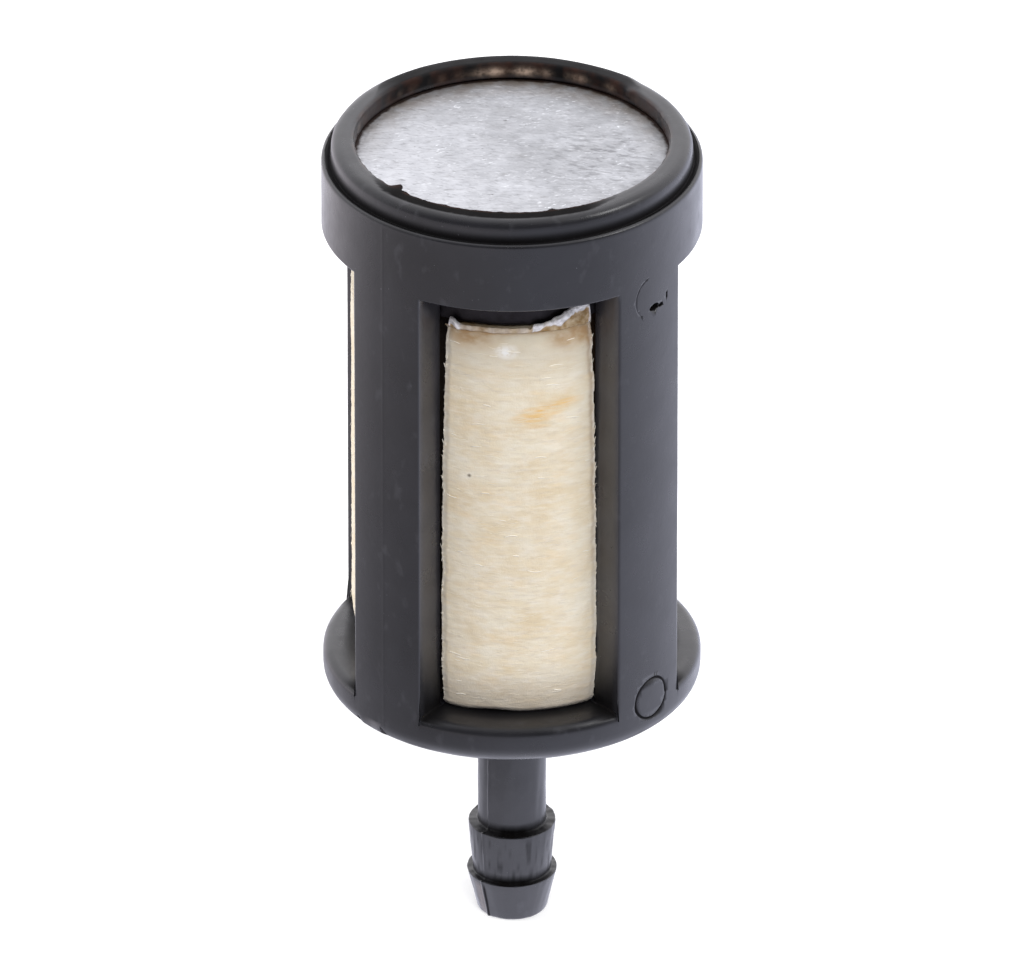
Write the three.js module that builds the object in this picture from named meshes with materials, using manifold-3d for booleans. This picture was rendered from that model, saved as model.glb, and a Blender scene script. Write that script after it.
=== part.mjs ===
// In-tank fuel filter for a small engine.
// A felt sleeve stands in a moulded nylon cage. A metal weight closes the top, held under the cage's
// rolled lip, and the fuel leaves through the double-barbed spigot at the bottom.
// Frame: millimetres, +Z up along the filter's axis, origin at the centre of the spigot's tip.
// The windows face +X, +Y, -X and -Y, and the ribs stand between them.

import * as THREE from 'three';
import { mergeVertices } from 'three/addons/utils/BufferGeometryUtils.js';
import Module from 'manifold-3d';

const wasm = await Module();
wasm.setup();

// ---------------------------------------------------------------- driving dimensions

const CAGE_DIAMETER = 19.0;
const TURN_SEGMENTS = 72; // facets round the large turned shapes
const FINE_SEGMENTS = 36; // facets round the small ones
const ARC_DIVISIONS = 3;

const spigot = {
  bore: 1.2, // radius, as are the next five
  tip: 1.75,
  barb: 2.28, // edge of the barb nearest the tip
  waist: 1.98, // where the second barb starts
  secondBarb: 2.2,
  stem: 1.72,
  barbZ: 2.24,
  secondBarbZ: 5.0,
  footZ: 10.1, // where the stem runs into the cone
  tipRound: 0.15,
};

const base = {
  rimRound: 1.05, // radius of the rim's lower edge
  rimZ: 14.35, // height where that rounding ends
  sillRound: 0.5, // radius of the rim's upper edge, in the windows
  coneRadius: 8.25,
  coneStep: 0.3, // the cone starts this far above the rim's lowest point
};

const cage = {
  radius: CAGE_DIAMETER / 2,
  chamber: 7.77, // inner radius of the ribs and of the flange under the weight
  socket: 8.2, // inner radius of the ring round the weight's head
  sillZ: base.rimZ + base.rimRound,
  windowTopZ: 39.2,
  flangeThickness: 0.9,
  shoulderZ: 42.9,
  shoulderRound: 0.3,
  windowHalfAngle: THREE.MathUtils.degToRad(31.6),
  windowCount: 4,
};

const lip = {
  foot: 9.03, // outer radius where the lip leaves the shoulder
  crest: 8.97, // outer radius at the top
  mouth: 7.85,
  height: 1.1,
  outerRound: 0.3,
  innerRound: 0.2,
};

const weight = {
  head: 8.12,
  neck: 7.7,
  boss: 2.9,
  neckBottomZ: 37.4,
  bossDepth: 2.0,
  edge: 0.12,
  rise: 0.15, // how far its top face stands above the ring's shoulder
};

const core = { outer: 3.85, inner: 3.0, seatZ: 14.6, slotWidth: 2.6, slotHeight: 3.0, rows: 5 };
const screen = { outer: 4.05, inner: 3.9 };
const felt = {
  inner: 4.12,
  underRibs: 7.7,
  bulge: 0.42,
  bulgeShare: 0.94, // the bulge dies out at this share of the window's half angle
  bulgeFlatness: 4, // a higher power keeps the bulge flatter across the window
};

const GAP = 0.02; // clearance between pieces that touch
const CUT_MARGIN = 0.5; // how far a cutting solid runs past what it cuts
const topOfWeight = cage.shoulderZ + weight.rise;
const flangeTopZ = cage.windowTopZ + cage.flangeThickness;

// ---------------------------------------------------------------- solids

// A closed three.js geometry as a manifold-3d solid.
function toSolid(geometry) {
  const bare = geometry.clone();
  bare.deleteAttribute('normal');
  bare.deleteAttribute('uv');
  const merged = mergeVertices(bare, 1e-4);
  return new wasm.Manifold(
    new wasm.Mesh({
      numProp: 3,
      vertProperties: new Float32Array(merged.attributes.position.array),
      triVerts: new Uint32Array(merged.index.array),
    }),
  );
}

// A manifold-3d solid as a three.js geometry.
function toGeometry(solid) {
  const { vertProperties, triVerts } = solid.getMesh();
  const geometry = new THREE.BufferGeometry();
  geometry.setAttribute('position', new THREE.BufferAttribute(vertProperties, 3));
  geometry.setIndex(new THREE.BufferAttribute(triVerts, 1));
  geometry.computeVertexNormals();
  return geometry;
}

// Turns a section about the Z axis. The path holds radius and height, and runs anticlockwise.
function turned(path, segments = TURN_SEGMENTS) {
  const points = path.getPoints(ARC_DIVISIONS);
  const first = points[0];
  if (!points.at(-1).equals(first)) points.push(first.clone());
  return new THREE.LatheGeometry(points, segments).rotateX(Math.PI / 2);
}

function ring(inner, outer, bottomZ, topZ, segments) {
  const section = new THREE.Path()
    .moveTo(inner, bottomZ)
    .lineTo(outer, bottomZ)
    .lineTo(outer, topZ)
    .lineTo(inner, topZ);
  return turned(section, segments);
}

// ---------------------------------------------------------------- the cage

function spigotOutline(path) {
  const { tip, tipRound } = spigot;
  return path
    .moveTo(spigot.bore, 0)
    .lineTo(tip - tipRound, 0)
    .absarc(tip - tipRound, tipRound, tipRound, -Math.PI / 2, 0)
    .lineTo(spigot.barb, spigot.barbZ)
    .lineTo(spigot.waist, spigot.barbZ)
    .lineTo(spigot.secondBarb, spigot.secondBarbZ)
    .lineTo(spigot.stem, spigot.secondBarbZ)
    .lineTo(spigot.stem, spigot.footZ);
}

function baseOutline(path) {
  const beadRadius = cage.radius - base.rimRound;
  const rimBottomZ = base.rimZ - base.rimRound;
  return path
    .lineTo(base.coneRadius, rimBottomZ + base.coneStep)
    .lineTo(base.coneRadius, rimBottomZ)
    .lineTo(beadRadius, rimBottomZ)
    .absarc(beadRadius, base.rimZ, base.rimRound, -Math.PI / 2, 0);
}

function ringAndLipOutline(path) {
  const { shoulderZ, shoulderRound } = cage;
  const crestZ = shoulderZ + lip.height;
  return path
    .lineTo(cage.radius, shoulderZ - shoulderRound)
    .absarc(cage.radius - shoulderRound, shoulderZ - shoulderRound, shoulderRound, 0, Math.PI / 2)
    .lineTo(lip.foot, shoulderZ)
    .lineTo(lip.crest, crestZ - lip.outerRound)
    .absarc(lip.crest - lip.outerRound, crestZ - lip.outerRound, lip.outerRound, 0, Math.PI / 2)
    .absarc(lip.mouth + lip.innerRound, crestZ - lip.innerRound, lip.innerRound, Math.PI / 2, Math.PI)
    .lineTo(lip.mouth, topOfWeight + GAP);
}

function chamberOutline(path) {
  return path
    .lineTo(cage.socket, topOfWeight + GAP)
    .lineTo(cage.socket, flangeTopZ)
    .lineTo(cage.chamber, flangeTopZ)
    .lineTo(cage.chamber, cage.sillZ)
    .lineTo(screen.outer, cage.sillZ)
    .lineTo(screen.outer, core.seatZ)
    .lineTo(core.inner, core.seatZ)
    .lineTo(spigot.bore, core.seatZ - (core.inner - spigot.bore));
}

// The four window openings. Their sill ends in a rounded edge.
function windowOpenings() {
  const inside = cage.chamber - CUT_MARGIN;
  const outside = cage.radius + CUT_MARGIN;
  const edgeRadius = cage.radius - base.sillRound;
  const edgeZ = cage.sillZ - base.sillRound;
  const section = new THREE.Path()
    .moveTo(inside, cage.sillZ)
    .lineTo(edgeRadius, cage.sillZ)
    .absarc(edgeRadius, edgeZ, base.sillRound, Math.PI / 2, 0, true)
    .lineTo(outside, edgeZ)
    .lineTo(outside, cage.windowTopZ)
    .lineTo(inside, cage.windowTopZ);
  const band = toSolid(turned(section));
  const wedgeLength = 2 * cage.radius;
  const halfWidth = wedgeLength * Math.tan(cage.windowHalfAngle);
  const wedge = new THREE.Shape()
    .moveTo(0, 0)
    .lineTo(wedgeLength, -halfWidth)
    .lineTo(wedgeLength, halfWidth);
  let openings = null;
  for (let i = 0; i < cage.windowCount; i++) {
    const sector = new THREE.ExtrudeGeometry(wedge, { depth: cage.shoulderZ, bevelEnabled: false })
      .rotateZ((i * 2 * Math.PI) / cage.windowCount);
    const opening = band.intersect(toSolid(sector));
    openings = openings ? openings.add(opening) : opening;
  }
  return openings;
}

function cageBody() {
  const section = new THREE.Path();
  for (const outline of [spigotOutline, baseOutline, ringAndLipOutline, chamberOutline]) outline(section);
  return toGeometry(toSolid(turned(section)).subtract(windowOpenings()));
}

// ---------------------------------------------------------------- the pieces inside

function weightSlug() {
  const { head, neck, boss, neckBottomZ, edge } = weight;
  const stepZ = flangeTopZ + GAP;
  const section = new THREE.Path()
    .moveTo(0, neckBottomZ - weight.bossDepth)
    .lineTo(boss, neckBottomZ - weight.bossDepth)
    .lineTo(boss, neckBottomZ)
    .lineTo(neck, neckBottomZ)
    .lineTo(neck, stepZ)
    .lineTo(head, stepZ)
    .lineTo(head, topOfWeight - edge)
    .lineTo(head - edge, topOfWeight)
    .lineTo(0, topOfWeight);
  return new THREE.LatheGeometry(section.getPoints(), TURN_SEGMENTS).rotateX(Math.PI / 2);
}

// The felt is pressed in by the ribs, and swells out between them through the windows.
function feltSleeve() {
  const outline = new THREE.Shape();
  const halfWindow = cage.windowHalfAngle * felt.bulgeShare;
  const pitch = (2 * Math.PI) / cage.windowCount;
  for (let i = 0; i < TURN_SEGMENTS; i++) {
    const angle = (i * 2 * Math.PI) / TURN_SEGMENTS;
    const fromWindow = angle - Math.round(angle / pitch) * pitch;
    const across = Math.min(1, Math.abs(fromWindow) / halfWindow);
    const radius = felt.underRibs + felt.bulge * (1 - across ** felt.bulgeFlatness);
    const x = radius * Math.cos(angle);
    const y = radius * Math.sin(angle);
    if (i === 0) outline.moveTo(x, y);
    else outline.lineTo(x, y);
  }
  outline.closePath();
  outline.holes.push(new THREE.Path().absarc(0, 0, felt.inner, 0, 2 * Math.PI, true));
  const bottomZ = cage.sillZ + GAP;
  const depth = weight.neckBottomZ - GAP - bottomZ;
  return new THREE.ExtrudeGeometry(outline, { depth, bevelEnabled: false, curveSegments: FINE_SEGMENTS })
    .translate(0, 0, bottomZ);
}

// A slotted tube that keeps the felt from closing in. Each row has four slots, cut by two crossing boxes.
function supportCore() {
  const bottomZ = core.seatZ + GAP;
  const topZ = weight.neckBottomZ - GAP;
  let tube = toSolid(ring(core.inner, core.outer, bottomZ, topZ, FINE_SEGMENTS));
  const firstZ = cage.sillZ;
  const slotLength = 2 * (core.outer + CUT_MARGIN);
  const pitch = (topZ - firstZ) / core.rows;
  for (let row = 0; row < core.rows; row++) {
    const z = firstZ + (row + 0.5) * pitch;
    for (const quarterTurn of [0, 1]) {
      const slot = new THREE.BoxGeometry(slotLength, core.slotWidth, core.slotHeight)
        .rotateZ((quarterTurn * Math.PI) / 2)
        .translate(0, 0, z);
      tube = tube.subtract(toSolid(slot));
    }
  }
  return toGeometry(tube);
}

function coreScreen() {
  return ring(screen.inner, screen.outer - GAP, cage.sillZ + GAP, weight.neckBottomZ - GAP, FINE_SEGMENTS);
}

// ---------------------------------------------------------------- the assembly

const materials = {
  nylon: new THREE.MeshStandardMaterial({ color: 0x3b3c42, roughness: 0.42, metalness: 0 }),
  metal: new THREE.MeshStandardMaterial({ color: 0xc9cbd0, roughness: 0.5, metalness: 0.9 }),
  felt: new THREE.MeshStandardMaterial({ color: 0xe4d9bd, roughness: 0.95, metalness: 0 }),
  mesh: new THREE.MeshStandardMaterial({ color: 0xd8dcdc, roughness: 0.6, metalness: 0 }),
  coreNylon: new THREE.MeshStandardMaterial({ color: 0xd9d4c6, roughness: 0.5, metalness: 0 }),
};

const filter = new THREE.Group();

function addPiece(name, geometry, material) {
  const piece = new THREE.Mesh(geometry, material);
  piece.name = name;
  filter.add(piece);
}

addPiece('cage_body', cageBody(), materials.nylon);
addPiece('weight_slug', weightSlug(), materials.metal);
addPiece('felt_sleeve', feltSleeve(), materials.felt);
addPiece('core_screen', coreScreen(), materials.mesh);
addPiece('support_core', supportCore(), materials.coreNylon);

export default filter;
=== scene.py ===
"""Fuel filter for a small engine: the looks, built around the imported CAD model.

Lengths below are in millimetres and are turned into metres as each mesh is made. Angles are in
degrees, measured round +Z from +X. The windows face 0, 90, 180 and 270 degrees.
"""
import math
import random

import bmesh
import bpy
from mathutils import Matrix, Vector, noise


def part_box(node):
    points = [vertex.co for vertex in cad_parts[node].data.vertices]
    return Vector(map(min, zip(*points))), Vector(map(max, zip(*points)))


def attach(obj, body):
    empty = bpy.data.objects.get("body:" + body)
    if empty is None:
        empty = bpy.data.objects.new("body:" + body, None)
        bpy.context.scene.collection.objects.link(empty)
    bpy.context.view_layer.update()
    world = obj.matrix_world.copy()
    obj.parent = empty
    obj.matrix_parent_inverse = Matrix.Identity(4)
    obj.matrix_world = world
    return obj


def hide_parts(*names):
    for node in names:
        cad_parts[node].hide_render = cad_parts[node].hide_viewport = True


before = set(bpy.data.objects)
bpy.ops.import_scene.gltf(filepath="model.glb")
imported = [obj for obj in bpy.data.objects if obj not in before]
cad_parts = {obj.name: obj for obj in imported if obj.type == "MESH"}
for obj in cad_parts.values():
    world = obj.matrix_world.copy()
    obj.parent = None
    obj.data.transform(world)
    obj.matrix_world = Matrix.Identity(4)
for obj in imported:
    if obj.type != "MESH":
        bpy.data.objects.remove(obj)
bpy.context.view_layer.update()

MM = 0.001
SEED = 11


def box_mm(node):
    """A CAD node's lowest and highest corner, in millimetres."""
    low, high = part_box(node)
    return low / MM, high / MM


# ------------------------------------------------------------------ driving dimensions

cage_low, cage_high = box_mm("cage_body")
felt_low, felt_high = box_mm("felt_sleeve")
slug_low, slug_high = box_mm("weight_slug")
screen_high = box_mm("core_screen")[1]

CAGE_R = cage_high.x
TIP_Z = cage_low.z
CREST_Z = cage_high.z
LIP_HEIGHT = 1.1
SHOULDER_Z = CREST_Z - LIP_HEIGHT
GAP = 0.02
SILL_Z = felt_low.z - GAP
SLUG_BOTTOM_Z = felt_high.z + GAP
SLUG_TOP_Z = slug_high.z

CHAMBER_R = 7.64
SOCKET_R = slug_high.x + 0.08
RIM_ROUND = 1.05
RIM_Z = SILL_Z - RIM_ROUND
RIM_BEAD_R = CAGE_R - RIM_ROUND
SILL_ROUND = 0.5
SILL_EDGE_R = CAGE_R - SILL_ROUND
SILL_EDGE_Z = SILL_Z - SILL_ROUND
WINDOW_TOP_Z = 39.2
FLANGE_TOP_Z = WINDOW_TOP_Z + 0.9
WINDOW_HALF = 31.6
WINDOW_TAPER = 1.5  # how far each window's side walls lean in, in degrees, from the outside in
CONE_R = 8.25
CONE_STEP = 0.3
CORE_SEAT_Z = SILL_Z - 0.8
CORE_SEAT_R = screen_high.x + GAP
CORE_BORE_R = 3.0

BORE_R = 1.2
SPIGOT_TIP_R = 1.75
BARB_R = 2.28
BARB_Z = TIP_Z + 2.24
WAIST_R = 1.98
UPPER_BARB_R = 2.2
UPPER_BARB_Z = TIP_Z + 5.0
STEM_R = 1.72
STEM_FOOT_Z = TIP_Z + 10.1

LIP_FOOT_R = 9.03
LIP_CREASE_WIDTH = 0.24
LIP_CREASE_DEPTH = 0.12
LIP_CREST_R = 8.97
LIP_MOUTH_R = 7.85

WINDOWS = (0.0, 90.0, 180.0, 270.0)
FRONT = 270.0
FRONT_REACH = 33.302  # marks that only the front window has reach this far from its centre
BACK = 90.0
PARTING_ANGLES = (45.0, 225.0)
MARK_ANGLE = 315.0  # the rib that carries the round mould marks
UPPER_MARK_R = 1.18
UPPER_MARK_Z = WINDOW_TOP_Z - 0.75
UPPER_GROOVE = 0.017  # a groove's half-width
LOWER_MARK_R = 1.1
LOWER_MARK_Z = SILL_Z + 0.17
LOWER_GROOVE = 0.1


# ------------------------------------------------------------------ mesh helpers

def polar(radius, degrees, z):
    angle = math.radians(degrees)
    return Vector((radius * math.cos(angle), radius * math.sin(angle), z))


def cage_angle(p):
    return math.degrees(math.atan2(p.y, p.x)) % 360.0


def turn_between(a, b):
    """The signed turn from angle b to angle a, in degrees, between -180 and 180."""
    return (a - b + 180.0) % 360.0 - 180.0


def window_offset(degrees):
    """How far an angle lies from the centre of the nearest window."""
    return turn_between(degrees, 90.0 * round(degrees / 90.0))


def noise_at(x, y, z):
    """Smooth noise, between about -1 and 1."""
    return noise.noise(Vector((x, y, z)))


def noise_around(radius, degrees, z):
    """Smooth noise round a circle, so it meets itself after a full turn. A wide circle is busier."""
    return noise.noise(polar(radius, degrees, z))


def in_front_window(degrees):
    return abs(turn_between(degrees, FRONT)) < FRONT_REACH


def grain(p, along, across):
    """Smooth noise whose features are long round the axis and short along it."""
    return noise_at(p.x / along, p.y / along, p.z / across)


def smoothstep(low, high, value):
    share = min(1.0, max(0.0, (value - low) / (high - low)))
    return share * share * (3.0 - 2.0 * share)


def bump_at(distance, width):
    """A bell curve: 1 at no distance, and near 0 at twice the width."""
    return math.exp(-((distance / width) ** 2))


def rounded(corners, steps=4, longest=0.45):
    """A smooth outline through (radius, z, rounding) corners, with its long runs divided up."""
    points = []
    for i, (r, z, rounding) in enumerate(corners):
        corner = Vector((r, z))
        if rounding == 0.0 or i in (0, len(corners) - 1):
            points.append(corner)
            continue
        before = Vector(corners[i - 1][:2]) - corner
        after = Vector(corners[i + 1][:2]) - corner
        start = corner + before.normalized() * rounding
        end = corner + after.normalized() * rounding
        for step in range(steps + 1):
            t = step / steps
            points.append(start.lerp(corner, t).lerp(corner.lerp(end, t), t))
    outline = [points[0]]
    for point in points[1:]:
        parts = max(1, math.ceil((point - outline[-1]).length / longest))
        first = outline[-1]
        outline += [first.lerp(point, (n + 1) / parts) for n in range(parts)]
    return [(p.x, p.y) for p in outline]


def arc(centre_r, centre_z, radius, start, end, steps=8):
    angles = [math.radians(start + (end - start) * n / steps) for n in range(steps + 1)]
    return [(centre_r + radius * math.cos(a), centre_z + radius * math.sin(a)) for a in angles]


def new_object(name, mesh):
    obj = bpy.data.objects.new(name, mesh)
    bpy.context.scene.collection.objects.link(obj)
    return obj


def object_from_bmesh(name, bm, smooth=True):
    """Turns a bmesh that is in millimetres into an object in metres."""
    bmesh.ops.recalc_face_normals(bm, faces=bm.faces)
    bmesh.ops.scale(bm, vec=(MM, MM, MM), verts=bm.verts)
    mesh = bpy.data.meshes.new(name)
    bm.to_mesh(mesh)
    bm.free()
    for polygon in mesh.polygons:
        polygon.use_smooth = smooth
    return new_object(name, mesh)


def bake_modifiers(obj):
    evaluated = obj.evaluated_get(bpy.context.evaluated_depsgraph_get())
    mesh = bpy.data.meshes.new_from_object(evaluated)
    obj.modifiers.clear()
    obj.data = mesh
    return obj


def mark_vertices(obj, name, value_at):
    """Stores a number at each vertex for a material to read, from its place in millimetres."""
    mesh = obj.data
    layer = mesh.attributes.new(name, "FLOAT", "POINT")
    layer.data.foreach_set("value", [value_at(v.co / MM) for v in mesh.vertices])


def cut(obj, cutter):
    modifier = obj.modifiers.new("cut", "BOOLEAN")
    modifier.operation = "DIFFERENCE"
    modifier.solver = "EXACT"
    modifier.object = cutter
    bake_modifiers(obj)
    bpy.data.objects.remove(cutter)


def lathe(outline, columns, shape):
    """A turned bmesh. The outline is (radius, z) points, and shape moves each point afterwards."""
    bm = bmesh.new()
    rings = []
    for r, z in outline:
        if r < 1e-6:
            rings.append([bm.verts.new((0.0, 0.0, z))] * columns)
            continue
        rings.append([bm.verts.new(polar(r, 360.0 * c / columns, z)) for c in range(columns)])
    for lower, upper in zip(rings, rings[1:]):
        for c in range(columns):
            d = (c + 1) % columns
            corners = dict.fromkeys((lower[c], lower[d], upper[d], upper[c]))
            if len(corners) > 2:
                bm.faces.new(list(corners))
    for vert in bm.verts:
        vert.co = shape(vert.co)
    return bm


# ------------------------------------------------------------------ the cage

WINDOW_STRIPS = 60
RIB_STRIPS = 26
PARTING_OFFSETS = (-0.9, -0.55, -0.3, 0.0, 0.3, 0.55, 0.9)
WALL_RADII = (CHAMBER_R, 8.1, 8.5, SILL_EDGE_R, CAGE_R)
WALL_ROWS = 60
EDGE_SOFTNESS = 0.09  # how far the windows' edges are bevelled
NICK_ANGLES = (213.2, 223.9)
NICK_SIZE = (0.19, 0.19, 0.40)

# Each torn pit by the upper mark: round the cage and up from the mark's centre, half-sizes, and seed.
MARK_PITS = (
    (0.10, -0.66, (0.36, 0.36, 0.19), 4.0),
    (0.60, -0.70, (0.20, 0.20, 0.12), 6.0),
    (1.06, -0.34, (0.07, 0.07, 0.19), 8.0),
)

# Each nub that sticks in from the lip's torn edge: its angle, its reach and its half-width in degrees.
LIP_NUBS = ((219.2, 0.62, 1.15), (224.5, 0.16, 2.2), (282.3, 0.2, 1.2), (39.0, 0.15, 1.6))

# Each painted warm reflection inside the lip: its angle, its half-width in degrees and its strength.
LIP_WARM_REFLECTIONS = ((93.6, 3.0, 0.9), (83.4, 3.2, 1.0), (99.5, 2.0, 0.4), (75.0, 2.0, 0.3), (62.0, 3.0, 0.25))


def cage_columns():
    """The angle of each column of the cage's mesh, and whether a window lies just after it."""
    columns = []
    rib_width = 90.0 - 2.0 * WINDOW_HALF
    for centre in WINDOWS:
        start = centre - WINDOW_HALF
        for n in range(WINDOW_STRIPS):
            columns.append((start + 2.0 * WINDOW_HALF * n / WINDOW_STRIPS, True))
        start = centre + WINDOW_HALF
        angles = [start + rib_width * n / RIB_STRIPS for n in range(RIB_STRIPS)]
        middle = start + rib_width / 2.0
        if middle % 360.0 in PARTING_ANGLES:
            clear = 1.1
            angles = [a for a in angles if abs(a - middle) > clear]
            angles += [middle + offset for offset in PARTING_OFFSETS]
        columns += [(angle, False) for angle in sorted(angles)]
    return columns


def spigot_and_base_outline():
    rim_bottom_z = RIM_Z - RIM_ROUND
    corners = [
        (BORE_R, TIP_Z + 0.2, 0.0),
        (BORE_R, TIP_Z, 0.08),
        (SPIGOT_TIP_R, TIP_Z, 0.15),
        (BARB_R, BARB_Z, 0.07),
        (WAIST_R, BARB_Z, 0.09),
        (UPPER_BARB_R, UPPER_BARB_Z, 0.07),
        (STEM_R, UPPER_BARB_Z, 0.12),
        (STEM_R, STEM_FOOT_Z, 0.22),
        (CONE_R, rim_bottom_z + CONE_STEP, 0.12),
        (CONE_R, rim_bottom_z, 0.1),
        (RIM_BEAD_R, rim_bottom_z, 0.0),
    ]
    return rounded(corners) + arc(RIM_BEAD_R, RIM_Z, RIM_ROUND, -90.0, 0.0)[1:]


def ring_and_lip_outline():
    corners = [
        (CAGE_R, WINDOW_TOP_Z, 0.0),
        (CAGE_R, SHOULDER_Z, 0.2),
        (LIP_FOOT_R + LIP_CREASE_WIDTH, SHOULDER_Z, 0.08),
        (LIP_FOOT_R + 0.02, SHOULDER_Z - LIP_CREASE_DEPTH, 0.05),
        (LIP_CREST_R, CREST_Z, 0.5),
        (LIP_MOUTH_R, CREST_Z, 0.22),
        (LIP_MOUTH_R, SLUG_TOP_Z + GAP, 0.08),
        (SOCKET_R, SLUG_TOP_Z + GAP, 0.04),
        (SOCKET_R, FLANGE_TOP_Z, 0.04),
        (CHAMBER_R, FLANGE_TOP_Z, 0.04),
        (CHAMBER_R, WINDOW_TOP_Z, 0.0),
    ]
    return rounded(corners, longest=0.12)


def floor_outline():
    corners = [
        (CHAMBER_R, SILL_Z, 0.0),
        (CORE_SEAT_R, SILL_Z, 0.0),
        (CORE_SEAT_R, CORE_SEAT_Z, 0.0),
        (CORE_BORE_R, CORE_SEAT_Z, 0.0),
        (BORE_R, CORE_SEAT_Z - (CORE_BORE_R - BORE_R), 0.0),
        (BORE_R, TIP_Z + 0.2, 0.0),
    ]
    return rounded(corners, longest=1.5)


def cage_grid():
    """The cage as one closed mesh, with its columns and rows on the window edges."""
    bm = bmesh.new()
    columns = cage_columns()
    made = {}

    def vert(column, r, z):
        key = (column % len(columns), round(r, 4), round(z, 4))
        if key not in made:
            made[key] = bm.verts.new(polar(r, columns[key[0]][0], z))
        return made[key]

    def strip(column, outline):
        for (r0, z0), (r1, z1) in zip(outline, outline[1:]):
            corners = (
                vert(column, r0, z0),
                vert(column + 1, r0, z0),
                vert(column + 1, r1, z1),
                vert(column, r1, z1),
            )
            bm.faces.new(corners)

    rows = [SILL_Z + (WINDOW_TOP_Z - SILL_Z) * n / WALL_ROWS for n in range(WALL_ROWS + 1)]
    sill_edge = arc(SILL_EDGE_R, SILL_EDGE_Z, SILL_ROUND, 0.0, 90.0)
    around = (spigot_and_base_outline(), ring_and_lip_outline(), floor_outline())
    rib_outside = [(CAGE_R, RIM_Z), (CAGE_R, SILL_EDGE_Z)] + [(CAGE_R, z) for z in rows]
    rib_inside = [(CHAMBER_R, z) for z in reversed(rows)]
    window_top = [(r, WINDOW_TOP_Z) for r in WALL_RADII]
    window_sill = [(CAGE_R, RIM_Z)] + sill_edge + [(r, SILL_Z) for r in reversed(WALL_RADII[:-2])]
    for column, (_, in_window) in enumerate(columns):
        for outline in around:
            strip(column, outline)
        for outline in (window_top, window_sill) if in_window else (rib_outside, rib_inside):
            strip(column, outline)
        if columns[column - 1][1] == in_window:
            continue
        for low, high in zip(rows, rows[1:]):
            for r0, r1 in zip(WALL_RADII, WALL_RADII[1:]):
                corners = ((r0, low), (r1, low), (r1, high), (r0, high))
                bm.faces.new([vert(column, r, z) for r, z in corners])
        bm.faces.new([vert(column, r, z) for r, z in sill_edge + [(CAGE_R, SILL_Z)]])
    bmesh.ops.recalc_face_normals(bm, faces=bm.faces)
    return bm


def wall_angle(r):
    """The angle of a window's side walls, from the window's centre, at a radius."""
    return WINDOW_HALF - WINDOW_TAPER * (CAGE_R - r) / (CAGE_R - CHAMBER_R)


def taper_windows(bm):
    """Turns the windows' side walls in, and lets the turn fade out to the middle of each rib."""
    low_z, high_z = SILL_EDGE_Z - 0.01, WINDOW_TOP_Z + 0.01
    for vert in bm.verts:
        r = vert.co.xy.length
        if not (CHAMBER_R - 0.01 < r < CAGE_R - 0.001 and low_z < vert.co.z < high_z):
            continue
        degrees = cage_angle(vert.co)
        offset = window_offset(degrees)
        inside = abs(offset) <= WINDOW_HALF
        pull = abs(offset) / WINDOW_HALF if inside else (45.0 - abs(offset)) / (45.0 - WINDOW_HALF)
        turn = math.copysign((WINDOW_HALF - wall_angle(r)) * pull, offset)
        vert.co = polar(r, degrees - turn, vert.co.z)


def soften_window_edges(bm):
    sharp = math.radians(50.0)
    low_z, high_z = RIM_Z + 0.1, WINDOW_TOP_Z + 0.1
    edges = []
    for edge in bm.edges:
        z_values = [v.co.z for v in edge.verts]
        in_window = min(z_values) > low_z and max(z_values) < high_z
        outside = min(v.co.xy.length for v in edge.verts) > CHAMBER_R - 0.1
        if in_window and outside and edge.calc_face_angle(0.0) > sharp:
            edges.append(edge)
    bmesh.ops.bevel(bm, geom=edges, offset=EDGE_SOFTNESS, segments=2, profile=0.5, affect="EDGES")


def mark_point(u, v, depth, centre_z):
    """A point on the marked rib: u round the cage and v up from the mark's centre, in millimetres."""
    degrees = MARK_ANGLE + math.degrees(u / CAGE_R)
    return polar(CAGE_R - depth, degrees, centre_z + v)


def groove_cutter(centre_z, radius, start, end, half_width):
    """A thin bent bar that leaves a stretch of a round mould mark, from one angle to another."""
    bm = bmesh.new()
    steps, sides = 56, 6
    whole = end - start >= 360.0
    rings = []
    for n in range(steps if whole else steps + 1):
        angle = math.radians(start + (end - start) * n / steps)
        width = half_width * (1.0 + 0.6 * noise_at(1.7 * angle, centre_z, 0.0))
        ring = []
        for side in range(sides):
            turn = 2.0 * math.pi * side / sides
            reach = radius + width * math.cos(turn)
            point = mark_point(
                reach * math.cos(angle), reach * math.sin(angle), width * math.sin(turn), centre_z)
            ring.append(bm.verts.new(point))
        rings.append(ring)
    pairs = list(zip(rings, rings[1:]))
    if whole:
        pairs.append((rings[-1], rings[0]))
    else:
        bm.faces.new(rings[0])
        bm.faces.new(rings[-1])
    for a, b in pairs:
        for side in range(sides):
            other = (side + 1) % sides
            bm.faces.new((a[side], a[other], b[other], b[side]))
    return object_from_bmesh("groove_cutter", bm)


def pit_cutter(centre, size, seed):
    """A lumpy blob that leaves a torn pit."""
    bm = bmesh.new()
    bmesh.ops.create_icosphere(bm, subdivisions=3, radius=1.0)
    for vert in bm.verts:
        swell = 1.0 + 0.35 * noise.noise(vert.co * 1.7 + Vector((seed, 0.0, 0.0)))
        vert.co = centre + Vector(vert.co[i] * size[i] * swell for i in range(3))
    return object_from_bmesh("pit_cutter", bm)


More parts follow.
